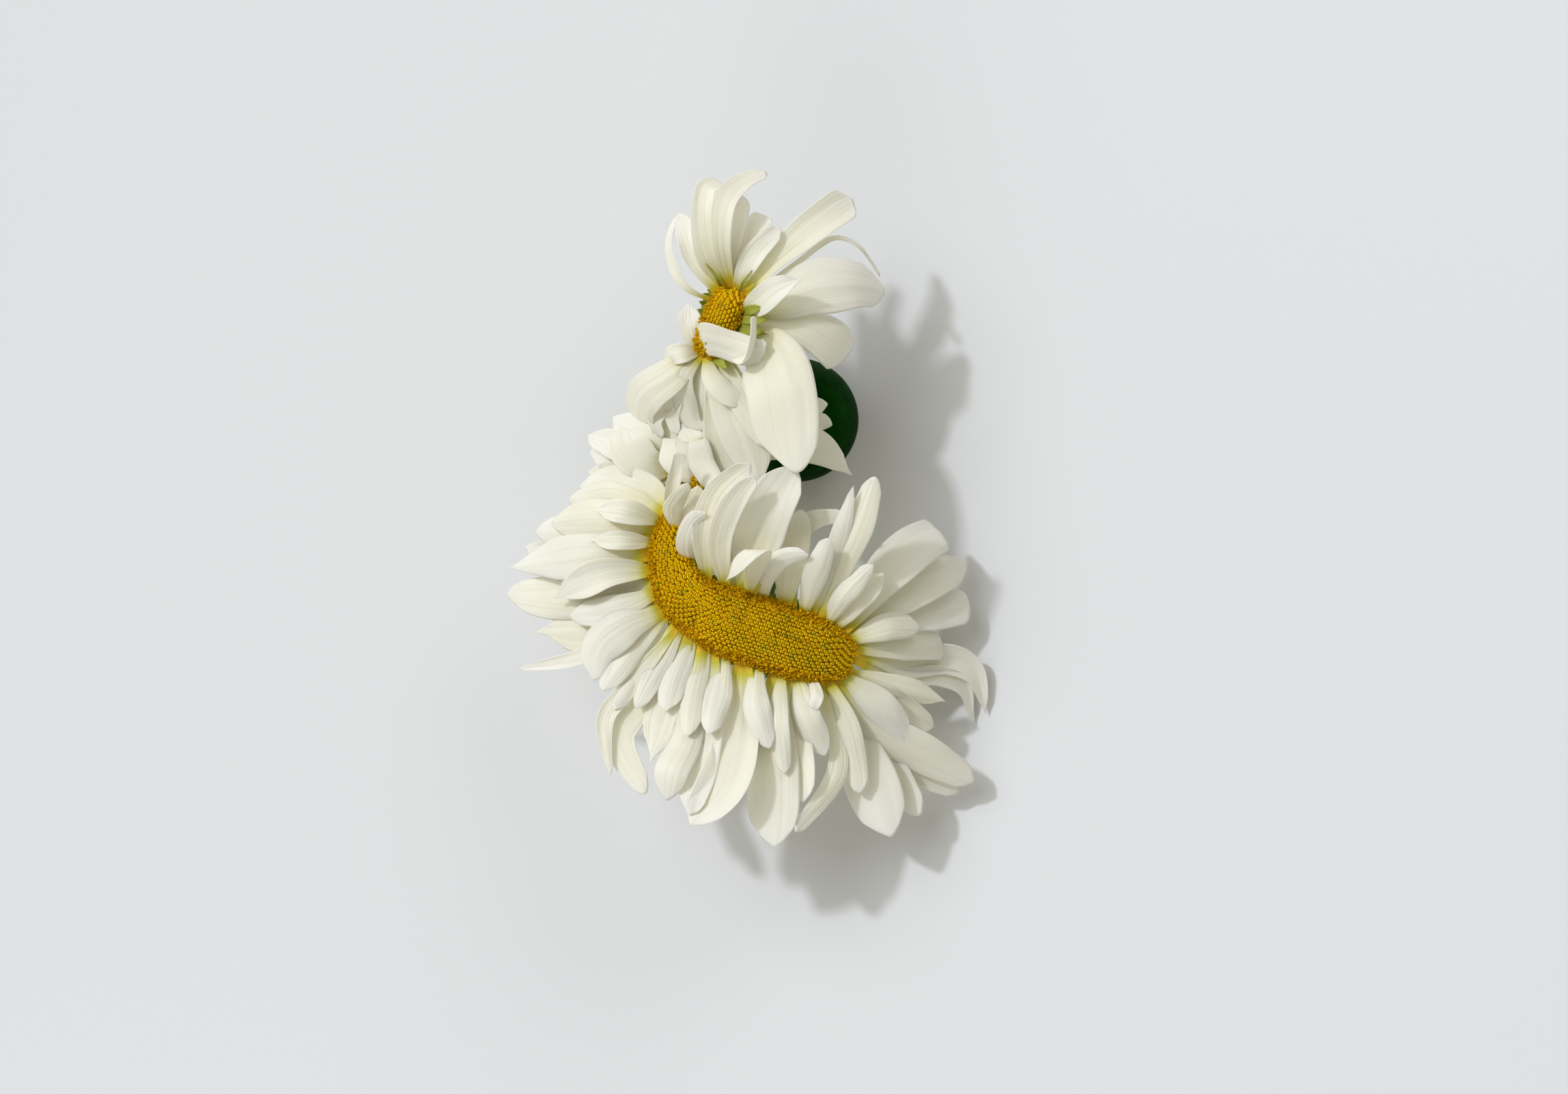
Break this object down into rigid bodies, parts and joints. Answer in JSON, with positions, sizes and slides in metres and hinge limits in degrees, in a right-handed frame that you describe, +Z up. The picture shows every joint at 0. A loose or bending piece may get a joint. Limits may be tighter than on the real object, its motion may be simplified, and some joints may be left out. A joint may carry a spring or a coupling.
{
  "type": "bunch of daisies",
  "caption": "Crested Shasta daisies, one with a long curved disc, with drooping cream petals, held in a small round dark green vase",
  "frame": {"origin": "the middle of the vase's foot, on the surface that it stands on", "axes": "+Z up, +Y towards the back head, +X to the right of the bunch"},
  "size_m": [0.1425, 0.1975, 0.071],
  "materials": {
    "petal_white": "satin",
    "disc_florets": "matte",
    "bract_green": "matte",
    "stem_green": "satin",
    "vase_glaze": "gloss"
  },
  "bodies": {
    "root": {"back_head_bracts": "bract_green", "back_head_disc": "disc_florets", "back_head_petal_01": "petal_white", "back_head_petal_02": "petal_white", "back_head_petal_03": "petal_white", "back_head_petal_04": "petal_white", "back_head_petal_05": "petal_white", "back_head_petal_06": "petal_white", "back_head_petal_07": "petal_white", "back_head_petal_08": "petal_white", "back_head_petal_09": "petal_white", "back_head_petal_10": "petal_white", "back_head_petal_11": "petal_white", "back_head_petal_12": "petal_white", "back_head_stem": "stem_green", "front_head_bracts": "bract_green", "front_head_disc": "disc_florets", "front_head_petal_01": "petal_white", "front_head_petal_02": "petal_white", "front_head_petal_03": "petal_white", "front_head_petal_04": "petal_white", "front_head_petal_05": "petal_white", "front_head_petal_06": "petal_white", "front_head_petal_07": "petal_white", "front_head_petal_08": "petal_white", "front_head_petal_09": "petal_white", "front_head_petal_10": "petal_white", "front_head_petal_11": "petal_white", "front_head_petal_12": "petal_white", "front_head_petal_13": "petal_white", "front_head_petal_14": "petal_white", "front_head_petal_15": "petal_white", "front_head_petal_16": "petal_white", "front_head_petal_17": "petal_white", "front_head_petal_18": "petal_white", "front_head_petal_19": "petal_white", "front_head_petal_20": "petal_white", "front_head_petal_21": "petal_white", "front_head_petal_22": "petal_white", "front_head_petal_23": "petal_white", "front_head_petal_24": "petal_white", "front_head_petal_25": "petal_white", "front_head_petal_26": "petal_white", "front_head_petal_27": "petal_white", "front_head_petal_28": "petal_white", "front_head_petal_29": "petal_white", "front_head_petal_30": "petal_white", "front_head_petal_31": "petal_white", "front_head_petal_32": "petal_white", "front_head_petal_33": "petal_white", "front_head_stem": "stem_green", "left_head_bracts": "bract_green", "left_head_disc": "disc_florets", "left_head_petal_01": "petal_white", "left_head_petal_02": "petal_white", "left_head_petal_03": "petal_white", "left_head_petal_04": "petal_white", "left_head_petal_05": "petal_white", "left_head_stem": "stem_green", "vase": "vase_glaze"}
  },
  "joints": []
}
